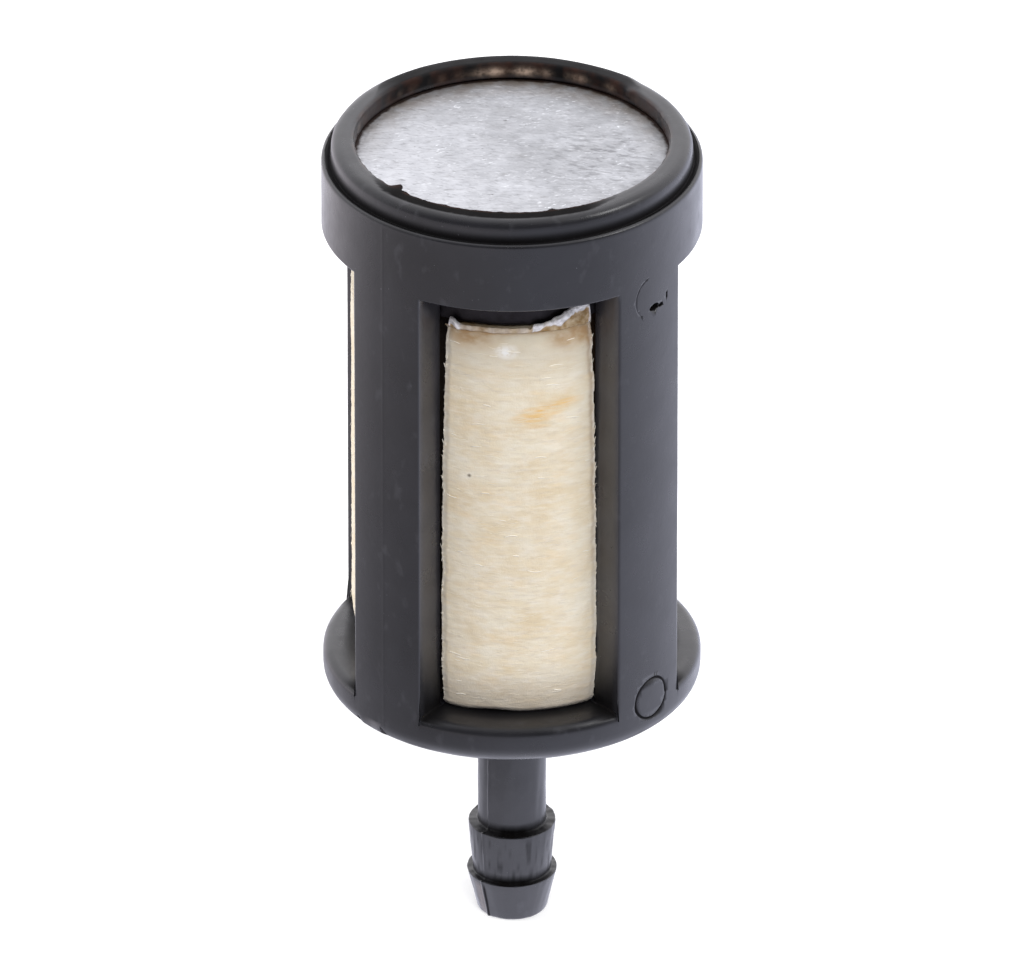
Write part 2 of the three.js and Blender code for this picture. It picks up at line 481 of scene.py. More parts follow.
def lip_shape(p, degrees):
    """The lip was rolled over hot, so its crest waves and its inner edge is ragged."""
    r = p.xy.length
    height = smoothstep(0.35, 0.9, p.z - SHOULDER_Z)
    inner = height * (1.0 - smoothstep(LIP_MOUTH_R, LIP_MOUTH_R + 0.35, r))
    wave = -0.045 + 0.045 * noise_around(1.6, degrees, 2.0)
    step = -0.09 * smoothstep(-6.0, 0.0, turn_between(40.0, degrees))
    step *= 1.0 - smoothstep(20.0, 60.0, turn_between(40.0, degrees))
    p.z += height * (wave + step)
    torn = max(0.0, noise_around(14.0, degrees, 5.0))
    torn += 0.5 * max(0.0, noise_around(40.0, degrees, 9.0))
    in_front = bump_at(turn_between(degrees, 262.0), 50.0)
    inward = 0.12 * in_front + 0.17 * torn * (0.3 + 0.7 * in_front)
    for angle, reach, width in LIP_NUBS:
        inward += reach * bump_at(turn_between(degrees, angle), width)
    dent = 0.03 * height * noise_around(3.5, degrees, 1.0)
    r_new = r - inner * inward + dent
    return Vector((p.x * r_new / r, p.y * r_new / r, p.z))


def cage_shape(p, normal):
    """Moulding faults: a slightly wavy wall, a seam where the two mould halves met, and the lip."""
    degrees = cage_angle(p)
    r = p.xy.length
    height = 0.012 * noise.noise(p / 3.5) + 0.004 * noise.noise(p / 0.8)
    if p.z < STEM_FOOT_Z and r > BORE_R + 0.1:
        drawn = noise_at(p.x / 0.35, p.y / 0.35, p.z / 2.0)
        rough = 1.6 if BARB_Z < p.z < UPPER_BARB_Z + 0.05 else 1.0
        height += rough * (0.02 * noise.noise(p / 0.55) + 0.014 * drawn)
    facing_out = normal.x * p.x + normal.y * p.y > 0.3 * r
    for angle in PARTING_ANGLES:
        arc_length = abs(turn_between(degrees, angle)) * math.pi / 180.0 * r
        if arc_length > 0.4 or p.z > SHOULDER_Z + LIP_HEIGHT:
            continue
        uneven = 0.6 + 0.5 * noise_at(p.z / 0.7, r / 0.5, angle)
        if facing_out and p.z < SHOULDER_Z - 0.2:
            height += (0.06 if p.z < STEM_FOOT_Z else 0.012) * uneven * bump_at(arc_length, 0.07)
        elif p.z < RIM_Z and r < CONE_R and normal.z < 0.0:
            height -= 0.07 * uneven * bump_at(arc_length, 0.08)
    tab = smoothstep(-0.8, 0.2, degrees - NICK_ANGLES[0])
    tab *= smoothstep(0.8, -0.2, degrees - NICK_ANGLES[1])
    if facing_out and r > RIM_BEAD_R and p.z < RIM_Z:
        height += 0.06 * tab * bump_at(p.z - RIM_Z + 0.55, 0.3)
    moved = p + normal * height
    if p.z > SHOULDER_Z + 0.2 and r > LIP_MOUTH_R - 0.2:
        moved = lip_shape(moved, degrees)
    return moved


def dullness_and_painted_shade(p):
    """How torn and dull the nylon is, and where shade and dark reflections are painted on it as near-black:
    the lip's crest and foot, the barbs' steps, the mould marks' groove and pits, and the windows' lower
    corners.
    """
    degrees = cage_angle(p)
    ragged = 0.08 * noise_around(9.0, degrees, 3.0) + 0.05 * noise_around(30.0, degrees, 6.0)
    r = p.xy.length
    above = p.z - SHOULDER_Z
    # The lip's inner crest: its ragged flash edge, and a painted band of shade and dark reflection over it.
    front = smoothstep(58.0, 34.0, abs(turn_between(degrees, 258.0)))
    back = smoothstep(62.0, 40.0, abs(turn_between(degrees, BACK)))
    band = LIP_MOUTH_R + 0.05 + max(0.62 * front, 0.95 * back)
    crest = smoothstep(band + 0.05, band - 0.05, r + ragged) * max(front, 0.8 * back)
    dull = crest * smoothstep(0.3, 0.5, above)
    # Painted shade: a dark band low on the lip's outer wall, at its foot.
    if LIP_FOOT_R - 0.12 < r < LIP_FOOT_R + 0.3 and -0.3 < above < 0.55:
        dull = max(dull, 0.78 * smoothstep(0.5, 0.05, above))
    on_show = max(bump_at(turn_between(degrees, middle), 52.0) for middle in (BACK, FRONT))
    # Painted shade on the barbs' upper steps, under the stem and base.
    for step_z, inner_r, outer_r in ((BARB_Z, WAIST_R, BARB_R), (UPPER_BARB_Z, STEM_R, UPPER_BARB_R)):
        if inner_r - 0.05 < r < outer_r - 0.04 and p.z > step_z - 0.06:
            patchy = min(1.0, on_show + 0.25 * noise_around(6.0, degrees, step_z))
            dull = max(dull, patchy * smoothstep(0.3, 0.12, p.z - step_z))
    if BARB_Z + 0.1 < p.z < UPPER_BARB_Z - 0.1 and r > WAIST_R - 0.1:
        streak = noise_at(p.x / 0.24, p.y / 0.24, p.z / 0.9)
        dull = max(dull, 0.38 * smoothstep(0.1, 0.5, streak))
    if p.z < BARB_Z - 0.1 and r > BORE_R + 0.3:
        dull = max(dull, 0.9 * bump_at(turn_between(degrees, 227.5), 2.0))
    # Painted shade in the torn pits by the upper mark.
    for u, v, size, _ in MARK_PITS:
        away = p - mark_point(u, v, 0.0, UPPER_MARK_Z)
        if away.length < size[0] and r < CAGE_R - 0.03:
            dull = 1.0
    # Painted shade in the groove of the lower mould mark.
    across = turn_between(degrees, MARK_ANGLE) * math.pi / 180.0 * CAGE_R
    from_mark = abs(math.hypot(across, p.z - LOWER_MARK_Z) - LOWER_MARK_R)
    if from_mark < 0.16 and CAGE_R - 0.2 < r < CAGE_R - 0.03:
        dull = 0.9
    # Painted shade in the windows' lower corners, and on the sill in the gap under the felt.
    if CHAMBER_R - 0.05 < r < CAGE_R - 0.12:
        corner = smoothstep(22.0, 30.0, abs(window_offset(degrees)))
        dull = max(dull, 0.85 * corner * bump_at(p.z - SILL_Z, 1.6))
        dull = max(dull, 0.7 * smoothstep(8.4, 7.9, r) * bump_at(p.z - SILL_Z, 0.3))
    return dull


def dust_and_painted_light(p):
    """Felt dust on the windows' side walls, which also paints light onto them, with a painted highlight in
    their upper inner corners and painted shade towards the sill, and a scuff mark on a tab.
    """
    r = p.xy.length
    degrees = cage_angle(p)
    if NICK_ANGLES[0] < degrees < NICK_ANGLES[1] and RIM_Z - 0.95 < p.z < RIM_Z - 0.2:
        return 2.4 * bump_at(turn_between(degrees, 221.0), 3.0)
    from_wall = abs(abs(window_offset(degrees)) - wall_angle(r))
    if from_wall > 0.35 or not CHAMBER_R - 0.05 < r < CAGE_R - 0.05 or p.z > WINDOW_TOP_Z + 0.05:
        return 0.0
    # Dust, and painted light, on the side walls.
    dust = 0.6 + 0.25 * noise.noise(p / 1.4)
    # A painted highlight in the walls' upper inner corners.
    dust += 0.4 * smoothstep(8.4, 7.8, r) * smoothstep(32.5, 34.5, p.z)
    # Fading out towards the sill, which paints shade at the walls' foot.
    return dust * smoothstep(1.2, 5.0, p.z - SILL_Z)


def painted_warm_reflections(p):
    """Painted warm reflections: two bright patches inside the lip at the back, and a warm-lit strip beside
    the lower barb's seam.
    """
    degrees = cage_angle(p)
    r = p.xy.length
    # A painted warm-lit strip beside the lower barb's seam.
    if p.z < BARB_Z - 0.1 and r > BORE_R + 0.3:
        beside = turn_between(225.0, degrees)
        return 0.13 * smoothstep(0.0, 3.0, beside) * smoothstep(20.0, 11.0, beside)
    if r > LIP_MOUTH_R + 0.16 or p.z < SLUG_TOP_Z + 0.1:
        return 0.0
    # Painted bright warm reflections inside the lip at the back.
    patches = 0.0
    for angle, width, strength in LIP_WARM_REFLECTIONS:
        patches += strength * bump_at(turn_between(degrees, angle), width)
    patches += 0.25 * max(0.0, noise_around(14.0, degrees, 7.0))
    return min(1.0, patches) * bump_at(p.z - CREST_Z + 0.52, 0.2)


def add_rim_nicks(obj):
    """Two nicks in the underside of the rim, beside the mould seam."""
    for angle in NICK_ANGLES:
        centre = polar(CAGE_R - 0.14, angle, RIM_Z - 0.64)
        cut(obj, pit_cutter(centre, NICK_SIZE, angle))


def build_cage():
    bm = cage_grid()
    taper_windows(bm)
    soften_window_edges(bm)
    obj = object_from_bmesh("cage_moulding", bm)
    cut(obj, groove_cutter(LOWER_MARK_Z, LOWER_MARK_R, 0.0, 360.0, LOWER_GROOVE))
    cut(obj, groove_cutter(UPPER_MARK_Z, UPPER_MARK_R, 105.0, 225.0, UPPER_GROOVE))
    for u, v, size, seed in MARK_PITS:
        cut(obj, pit_cutter(mark_point(u, v, 0.02, UPPER_MARK_Z), size, seed))
    add_rim_nicks(obj)
    mesh = obj.data
    moved = [cage_shape(v.co / MM, v.normal) * MM for v in mesh.vertices]
    for vertex, point in zip(mesh.vertices, moved):
        vertex.co = point
    for polygon in mesh.polygons:
        polygon.use_smooth = True
    mesh.update()
    weighted = obj.modifiers.new("even_shading", "WEIGHTED_NORMAL")
    weighted.keep_sharp = True
    bake_modifiers(obj)
    mark_vertices(obj, "torn", dullness_and_painted_shade)
    mark_vertices(obj, "dust_and_light_paint", dust_and_painted_light)
    mark_vertices(obj, "warm_painted_reflection", painted_warm_reflections)
    return obj


# ------------------------------------------------------------------ the weight

SLUG_NECK_R = 7.56
SLUG_BOSS_R = 2.9
SLUG_COLUMNS = 240
SLUG_TOP_RINGS = 56
BURR_HALF = 27.4  # how far each strip reaches from its window's centre, in degrees
BURR_COLUMNS = 170
BURR_ROWS = 16
BURR_CLEAR_R = SLUG_NECK_R + 0.1
BURR_TALLEST = 1.4


def slug_shape(p):
    """A sheared slug of soft metal: a scraped top, and a rough, crinkled neck."""
    r = p.xy.length
    moved = p.copy()
    on_top = smoothstep(SLUG_TOP_Z - 0.1, SLUG_TOP_Z, p.z)
    scrapes = noise_at(p.x / 1.3, p.y / 0.16, 0.0)
    dents = noise_at(p.x / 2.4, p.y / 1.6, 4.0)
    moved.z -= on_top * (0.012 + 0.012 * scrapes + 0.02 * dents)
    moved.z -= on_top * 0.05 * smoothstep(7.2, 8.1, r)
    if r > 7.0 and p.z < FLANGE_TOP_Z - 0.95:
        crinkle = noise.noise(p / 0.5) + 0.6 * noise.noise(p / 0.18)
        squash = 1.0 + min(0.0, 0.05 * crinkle - 0.02) / r
        moved.x *= squash
        moved.y *= squash
    return moved


def build_slug():
    head_r, neck_r, boss_r = slug_high.x, SLUG_NECK_R, SLUG_BOSS_R
    corners = [
        (0.0, slug_low.z, 0.0),
        (boss_r, slug_low.z, 0.2),
        (boss_r, SLUG_BOTTOM_Z, 0.0),
        (neck_r, SLUG_BOTTOM_Z, 0.12),
        (neck_r, FLANGE_TOP_Z + GAP, 0.0),
        (head_r, FLANGE_TOP_Z + GAP, 0.0),
        (head_r, SLUG_TOP_Z - 0.12, 0.0),
        (head_r - 0.12, SLUG_TOP_Z, 0.0),
    ]
    outline = rounded(corners, longest=0.14)
    last = head_r - 0.12
    outline += [(last * (1.0 - n / SLUG_TOP_RINGS), SLUG_TOP_Z) for n in range(1, SLUG_TOP_RINGS)]
    outline.append((0.0, SLUG_TOP_Z))
    return object_from_bmesh("weight_metal", lathe(outline, SLUG_COLUMNS, slug_shape))


def burr_height(degrees):
    """How high the torn metal edge stands above the felt: a thin line, a blob and a wide torn flap."""
    offset = window_offset(degrees)
    fine = noise_around(22.0, degrees, 3.0)
    if in_front_window(degrees):
        height = 0.13 + 0.17 * smoothstep(4.6, 5.8, offset) + 1.02 * smoothstep(6.0, 27.0, offset)
        height += 0.38 * bump_at(offset + 25.0, 2.6)
        height *= 1.0 - 0.9 * bump_at(offset - 4.2, 0.5)
    else:
        torn = noise_around(4.5, degrees, 6.0) + 0.2 * noise_around(9.0, degrees, 1.0)
        height = 0.14 + 0.95 * max(0.0, torn)
    height *= 1.0 + 0.16 * fine + 0.08 * noise_around(60.0, degrees, 9.0)
    edge = felt_edge(degrees, felt_high.z)
    return min(BURR_TALLEST, height) * smoothstep(edge - 0.3, edge - 1.4, abs(offset)) + 0.02


def burr_bead(degrees, below_top):
    """How much a point of the torn edge belongs to the thick bright bead along its top."""
    lumps = 0.8 + 0.5 * noise_around(15.0, degrees, 8.0)
    for angle, width in ((286.6, 2.4), (294.6, 2.0), (244.8, 2.4)):
        lumps += 0.4 * bump_at(turn_between(degrees, angle), width)
    return min(1.0, lumps) * smoothstep(0.62 * lumps, 0.36 * lumps, below_top)


def burr_white(p):
    """1 on the bright bead of the torn edge, and 0 where it is thin and brown."""
    degrees = cage_angle(p)
    height = burr_height(degrees)
    below_top = felt_top(degrees) + height - p.z
    return burr_bead(degrees, below_top) * (0.2 + 0.8 * smoothstep(0.1, 0.35, height))


def burr_strip(bm, window):
    """One closed strip of torn metal, folded up over the neck in one window."""
    outer, inner = [], []
    for c in range(BURR_COLUMNS + 1):
        degrees = window + BURR_HALF * (2.0 * c / BURR_COLUMNS - 1.0)
        height = burr_height(degrees)
        base_z = felt_top(degrees) - 0.12
        foot_r = felt_radius(degrees, base_z)
        for row in range(BURR_ROWS + 1):
            t = row / BURR_ROWS
            z = base_z + (height + 0.12) * t
            fold = 0.04 * noise_around(13.0, degrees, 3.0 * z)
            fold += 0.02 * noise_around(34.0, degrees, 6.0 * z)
            r = foot_r + (SLUG_NECK_R + 0.28 - foot_r) * smoothstep(0.0, 0.7, t) + fold
            bead = burr_bead(degrees, (height + 0.12) * (1.0 - t)) * min(1.0, height / 0.4)
            r += 0.14 * bead * (1.0 - smoothstep(0.8, 1.0, t) * 0.6)
            thick = 0.06 + 0.12 * bead * (1.0 - smoothstep(0.8, 1.0, t))
            r = max(BURR_CLEAR_R + thick, r)
            outer.append(bm.verts.new(polar(r, degrees, z)))
            inner.append(bm.verts.new(polar(r - thick, degrees, z)))
    width = BURR_ROWS + 1
    for c in range(BURR_COLUMNS):
        low, next_low = c * width, (c + 1) * width
        high, next_high = low + BURR_ROWS, next_low + BURR_ROWS
        for row in range(BURR_ROWS):
            a, b = low + row, next_low + row
            bm.faces.new((outer[a], outer[b], outer[b + 1], outer[a + 1]))
            bm.faces.new((inner[a], inner[a + 1], inner[b + 1], inner[b]))
        bm.faces.new((outer[low], inner[low], inner[next_low], outer[next_low]))
        bm.faces.new((outer[high], outer[next_high], inner[next_high], inner[high]))
    for start in (0, BURR_COLUMNS * width):
        for row in range(BURR_ROWS):
            a = start + row
            bm.faces.new((outer[a], outer[a + 1], inner[a + 1], inner[a]))


def build_burr():
    """The thin torn edge that the punch left round the bottom of the weight."""
    bm = bmesh.new()
    for window in WINDOWS:
        burr_strip(bm, window)
    obj = object_from_bmesh("weight_burr", bm)
    mark_vertices(obj, "white", burr_white)
    return obj


# ------------------------------------------------------------------ the felt

FELT_TIGHT_R = 7.5  # under the ribs
FELT_GROOVE_R = 6.4  # in the crease beside a window's edge
FELT_BULGE = 0.54
FELT_ROWS = 250
FELT_DENSE = (22.0, 37.0)  # where the columns lie closer together, from a window's centre


def felt_columns():
    """The angles of the felt mesh's columns, closer together at the window edges."""
    angles = []
    for window in WINDOWS:
        degrees = -45.0
        while degrees < 45.0 - 1e-6:
            angles.append(window + degrees)
            dense = FELT_DENSE[0] <= abs(degrees + 0.1) < FELT_DENSE[1]
            degrees += 0.3 if dense else 0.75
    return angles


def felt_edge(degrees, z):
    """How far from a window's centre the felt's bulge ends: it narrows, unevenly, towards the top."""
    offset = window_offset(degrees)
    up = max(0.0, (z - felt_low.z) / (felt_high.z - felt_low.z))
    side = 7.0 * round(degrees / 90.0) + (3.0 if offset > 0 else 0.0)
    wander = 0.55 * noise_at(z / 1.5, side, 0.0) + 0.3 * noise_at(z / 0.35, side, 5.0)
    widest = 30.2 if offset > 0 else 29.1
    return widest - 2.4 * up ** 3 + wander


def felt_top(degrees):
    """The felt's upper edge, a little ragged."""
    ragged = 0.045 * noise_around(20.0, degrees, 2.0) + 0.03 * noise_around(5.0, degrees, 8.0)
    return felt_high.z - 0.14 + ragged


def felt_bottom(degrees):
    """The felt's lower edge does not quite reach the sill everywhere."""
    return felt_low.z + 0.04 + 0.16 * max(0.0, noise_around(3.0, degrees, 4.0))


def felt_radius(degrees, z):
    """The felt swells out through the windows and creases beside their edges."""
    offset = abs(window_offset(degrees))
    edge = felt_edge(degrees, z)
    crown = 1.0 - 0.25 * min(1.0, offset / WINDOW_HALF) ** 2
    up = 0.45 + 0.55 * smoothstep(0.0, 3.0, z - felt_low.z)
    down = 0.55 + 0.45 * smoothstep(0.0, 1.2, felt_high.z - z)
    swollen = FELT_TIGHT_R + FELT_BULGE * crown * up * down
    swollen -= 0.10 * smoothstep(edge - 3.0, edge, offset)
    groove = smoothstep(edge, edge + 0.9, offset)
    covered = smoothstep(WINDOW_HALF + 1.0, WINDOW_HALF + 3.5, offset)
    shown = swollen + (FELT_GROOVE_R - swollen) * groove
    return shown + (FELT_TIGHT_R - shown) * covered


def felt_shape(p):
    """Felt's surface: wound fibre bundles, small tufts and soft lumps."""
    height = 0.016 * grain(p, 1.3, 0.22) + 0.010 * grain(p, 0.6, 0.09)
    height += 0.014 * noise.noise(p / 0.3) + 0.03 * noise.noise(p / 2.2)
    return height


def felt_fray_and_painted_light(p):
    """How frayed and pale the felt is: along its edges in the windows, where the pale also paints light over
    the shaded shoulder beside each edge.
    """
    degrees = cage_angle(p)
    offset = abs(window_offset(degrees))
    edge = felt_edge(degrees, p.z)
    patchy = 0.55 + 0.9 * noise_at(p.z / 0.4, p.z / 0.4, degrees)
    fray_and_light_paint = max(0.0, patchy) * bump_at(offset - edge + 0.5, 1.0)
    low = felt_bottom(degrees)
    fluff = 0.4 + 1.1 * noise_around(9.0, degrees, 3.0)
    return min(1.0, fray_and_light_paint + 0.8 * max(0.0, fluff) * bump_at(p.z - low, 0.18))


def felt_crease(p):
    """1 deep in the crease beside a window's edge, where no light reaches."""
    degrees = cage_angle(p)
    return smoothstep(0.1, 0.8, abs(window_offset(degrees)) - felt_edge(degrees, p.z))


def felt_stain(p):
    """Brown stains under the weight, strongest in the windows' upper corners, and a brown band down one edge.
    """
    degrees = cage_angle(p)
    offset = window_offset(degrees)
    below = felt_high.z - p.z
    patches = max(0.0, noise_around(3.2, degrees, 2.0) - 0.1)
    if in_front_window(degrees):
        patches = bump_at(offset + 18.0, 9.0) + 1.2 * smoothstep(7.0, 18.0, offset)
    top_line = 0.75 * bump_at(below - 0.26, 0.14)
    flank = 0.6 * bump_at(offset - felt_edge(degrees, p.z) + 1.5, 1.2) * smoothstep(18.0, 30.0, p.z)
    return min(1.0, patches * bump_at(below - 0.55, 0.62) + top_line + flank)


def build_felt():
    bm = bmesh.new()
    inner_r = screen_high.x + 0.1
    columns = felt_columns()
    rings = []
    for row in range(FELT_ROWS + 1):
        t = row / FELT_ROWS
        ring = []
        for degrees in columns:
            bottom, top = felt_bottom(degrees), felt_top(degrees)
            z = bottom + (top - bottom) * t
            r = felt_radius(degrees, z)
            r += felt_shape(polar(r, degrees, z))
            from_end = min(z - bottom, top - z)
            r -= 0.14 * (1.0 - smoothstep(0.0, 0.25, from_end))
            ring.append(bm.verts.new(polar(r, degrees, z)))
        rings.append(ring)
    top_z, bottom_z = felt_high.z - 0.25, felt_low.z + 0.2
    top_face = [(6.7, top_z), (6.0, top_z), (inner_r, top_z)]
    inside = [(inner_r, top_z - 5.0), (inner_r, bottom_z + 5.0)]
    bottom_face = [(inner_r, bottom_z), (6.0, bottom_z), (6.7, bottom_z)]
    for r, z in top_face + inside + bottom_face:
        rings.append([bm.verts.new(polar(r, degrees, z)) for degrees in columns])
    count = len(columns)
    for lower, upper in zip(rings, rings[1:] + rings[:1]):
        for c in range(count):
            d = (c + 1) % count
            bm.faces.new((lower[c], lower[d], upper[d], upper[c]))
    obj = object_from_bmesh("felt_wound_sleeve", bm)
    mark_vertices(obj, "fray_and_light_paint", felt_fray_and_painted_light)
    mark_vertices(obj, "stain", felt_stain)
    mark_vertices(obj, "crease", felt_crease)
    return obj


def add_strand(bm, path, radius, sides=3):
    """A fibre: a thin tube along a path, pointed at both ends."""
    rings = []
    for i, point in enumerate(path):
        ahead = path[min(i + 1, len(path) - 1)] - path[max(i - 1, 0)]
        side = ahead.cross(Vector((0.31, 0.17, 0.93))).normalized()
        lift = ahead.cross(side).normalized()
        taper = 0.35 if i in (0, len(path) - 1) else 1.0
        ring = []
        for n in range(sides):
            turn = 2.0 * math.pi * n / sides
            offset = side * math.cos(turn) + lift * math.sin(turn)
            ring.append(bm.verts.new(point + offset * radius * taper))
        rings.append(ring)
    for a, b in zip(rings, rings[1:]):
        for n in range(sides):
            m = (n + 1) % sides
            bm.faces.new((a[n], a[m], b[m], b[n]))
    bm.faces.new(rings[0])
    bm.faces.new(rings[-1])


def fibre_path(rng, degrees, z, length, lift, tilt):
    """A fibre that follows the felt's surface and lifts off it towards one end."""
    steps = 6
    path = []
    bend = rng.uniform(-0.12, 0.12) * min(1.0, length)
    for n in range(steps + 1):
        t = n / steps
        d = degrees + math.degrees((t - 0.5) * length / 8.0)
        height = z + (t - 0.5) * length * tilt + bend * math.sin(math.pi * t)
        height = min(felt_high.z - 0.2, max(felt_low.z + 0.1, height))
        on_felt = polar(felt_radius(d, height), d, height)
        r = felt_radius(d, height) + felt_shape(on_felt) + 0.004 + lift * t ** 3
        path.append(polar(r, d, height))
    return path


def edge_tuft_path(rng, degrees, z):
    """A short fibre that pokes out of the felt's frayed edge, up or down along the window."""
    length = rng.uniform(0.06, 0.28)
    heading = rng.choice((-1.0, 1.0))
    outward = rng.uniform(0.0, 0.06)
    sideways = rng.uniform(-0.7, 0.6)
    start_r = felt_radius(degrees, z) - 0.02
    away = 1.0 if window_offset(degrees) > 0 else -1.0
    path = []
    for n in range(5):
        t = n / 4
        d = degrees + away * sideways * t ** 1.5
        height = min(felt_high.z - 0.2, max(felt_low.z + 0.1, z + heading * length * t))
        path.append(polar(start_r + outward * t, d, height))
    return path


def build_fibres():
    rng = random.Random(SEED)
    bm = bmesh.new()
    low_z, high_z = felt_low.z + 0.2, felt_high.z - 0.3
    for window in WINDOWS:
        for _ in range(110):
            degrees = window + rng.uniform(-0.8, 0.8) * WINDOW_HALF
            lift = rng.choice((0.0, 0.01, 0.02, 0.07))
            z, length, tilt = rng.uniform(low_z, high_z), rng.uniform(0.4, 1.3), rng.uniform(-0.14, 0.14)
            add_strand(bm, fibre_path(rng, degrees, z, length, lift, tilt), rng.uniform(0.006, 0.010))
        for _ in range(34):
            degrees = window + rng.uniform(-0.82, 0.82) * WINDOW_HALF
            z, length, tilt = rng.uniform(low_z, high_z), rng.uniform(0.25, 0.8), rng.uniform(-0.16, 0.16)
            add_strand(bm, fibre_path(rng, degrees, z, length, 0.02, tilt), rng.uniform(0.018, 0.028), 5)
        for side in (-1.0, 1.0):
            for _ in range(140):
                z = rng.uniform(low_z, high_z)
                edge = felt_edge(window + side * 29.0, z)
                degrees = window + side * (edge + rng.uniform(-0.9, 0.1))
                add_strand(bm, edge_tuft_path(rng, degrees, z), rng.uniform(0.008, 0.022), 4)
    return object_from_bmesh("felt_loose_fibres", bm)


# ------------------------------------------------------------------ materials

class Shader:
    """A material's node tree, with short calls for the nodes that the materials here share."""

    def __init__(self, name):
        self.material = bpy.data.materials.new(name)
        self.material.use_nodes = True
        self.tree = self.material.node_tree
        self.surface = self.tree.nodes["Principled BSDF"]
        coordinates = self.tree.nodes.new("ShaderNodeTexCoord").outputs["Object"]
        self.place = self.scaled(coordinates, (1.0 / MM,) * 3)

    def link(self, source, target):
        if hasattr(source, "is_output"):
            self.tree.links.new(source, target)
        else:
            target.default_value = source

    def scaled(self, vector, factors, turn=0.0):
        node = self.tree.nodes.new("ShaderNodeMapping")
        self.link(vector, node.inputs["Vector"])
        node.inputs["Scale"].default_value = factors
        node.inputs["Rotation"].default_value = (0.0, 0.0, math.radians(turn))
        return node.outputs["Vector"]

    def noise(self, size, detail=3.0, stretch=(1.0, 1.0, 1.0), turn=0.0):
        """Noise whose features are about size millimetres across, and longer where stretch is over 1."""
        node = self.tree.nodes.new("ShaderNodeTexNoise")
        factors = tuple(1.0 / (size * s) for s in stretch)
        place = self.scaled(self.place, (1.0, 1.0, 1.0), turn) if turn else self.place
        self.link(self.scaled(place, factors), node.inputs["Vector"])
        node.inputs["Scale"].default_value = 1.0
        node.inputs["Detail"].default_value = detail
        return node.outputs["Fac"]

    def stored(self, name):
        """A number stored at the mesh's vertices."""
        node = self.tree.nodes.new("ShaderNodeAttribute")
        node.attribute_name = name
        return node.outputs["Fac"]

    def range(self, value, low, high, out_low=0.0, out_high=1.0):
        node = self.tree.nodes.new("ShaderNodeMapRange")
        self.link(value, node.inputs["Value"])
        for name, number in zip(("From Min", "From Max", "To Min", "To Max"), (low, high, out_low, out_high)):
            node.inputs[name].default_value = number
        return node.outputs["Result"]

    def math(self, operation, a, b=0.0):
        node = self.tree.nodes.new("ShaderNodeMath")
        node.operation = operation
        self.link(a, node.inputs[0])
        self.link(b, node.inputs[1])
        return node.outputs["Value"]

    def times(self, a, b):
        return self.math("MULTIPLY", a, b)

    def plus(self, a, b):
        return self.math("ADD", a, b)

    def mix(self, share, a, b):
        node = self.tree.nodes.new("ShaderNodeMix")
        node.data_type = "RGBA"
        self.link(share, node.inputs["Factor"])
        colours = [s for s in node.inputs if s.type == "RGBA"]
        self.link(a if hasattr(a, "is_output") else (*a, 1.0), colours[0])
        self.link(b if hasattr(b, "is_output") else (*b, 1.0), colours[1])
        return [s for s in node.outputs if s.type == "RGBA"][0]

    def tint(self, tone, mask, share, colour):
        """Lays a share of a colour over the tone, where the mask is 1."""
        return self.mix(self.times(mask, share), tone, colour)

    def near(self, point, size):
        """1 close to a point, in millimetres, fading to 0 over the three half-widths in size."""
        offset = self.tree.nodes.new("ShaderNodeMapping")
        self.link(self.place, offset.inputs["Vector"])
        offset.inputs["Scale"].default_value = tuple(1.0 / s for s in size)
        offset.inputs["Location"].default_value = tuple(-point[i] / size[i] for i in range(3))
        length = self.tree.nodes.new("ShaderNodeVectorMath")
        length.operation = "LENGTH"
        self.link(offset.outputs["Vector"], length.inputs[0])
        return self.range(length.outputs["Value"], 1.0, 0.2)

    def separate(self):
        node = self.tree.nodes.new("ShaderNodeSeparateXYZ")
        self.link(self.place, node.inputs["Vector"])
        return node.outputs

    def radius(self):
        flat = self.scaled(self.place, (1.0, 1.0, 0.0))
        node = self.tree.nodes.new("ShaderNodeVectorMath")
        node.operation = "LENGTH"
        self.link(flat, node.inputs[0])
        return node.outputs["Value"]

    def bump(self, height, depth, normal=None):
        """Relief, where depth is the height in millimetres of a full step."""
        node = self.tree.nodes.new("ShaderNodeBump")
        node.inputs["Strength"].default_value = 1.0
        node.inputs["Distance"].default_value = depth * MM
        self.link(height, node.inputs["Height"])
        if normal:
            self.link(normal, node.inputs["Normal"])
        return node.outputs["Normal"]

    def set(self, **sockets):
        for name, value in sockets.items():
            self.link(value, self.surface.inputs[name.replace("_", " ")])
        return self.material


# Marks on the felt: angle and height, then half-length, half-height and strength, or the size.
ORANGE_STREAKS = (
    (274.2, 32.35, 1.25, 0.36, 0.95),
    (278.6, 32.72, 1.45, 0.36, 0.95),
    (285.6, 33.10, 1.40, 0.40, 0.75),
    (275.8, 31.90, 0.95, 0.22, 0.45),
)
DARK_SPECKS = ((252.2, 29.0, 0.14), (75.0, 22.0, 0.12), (352.0, 31.0, 0.13), (170.0, 25.0, 0.12))


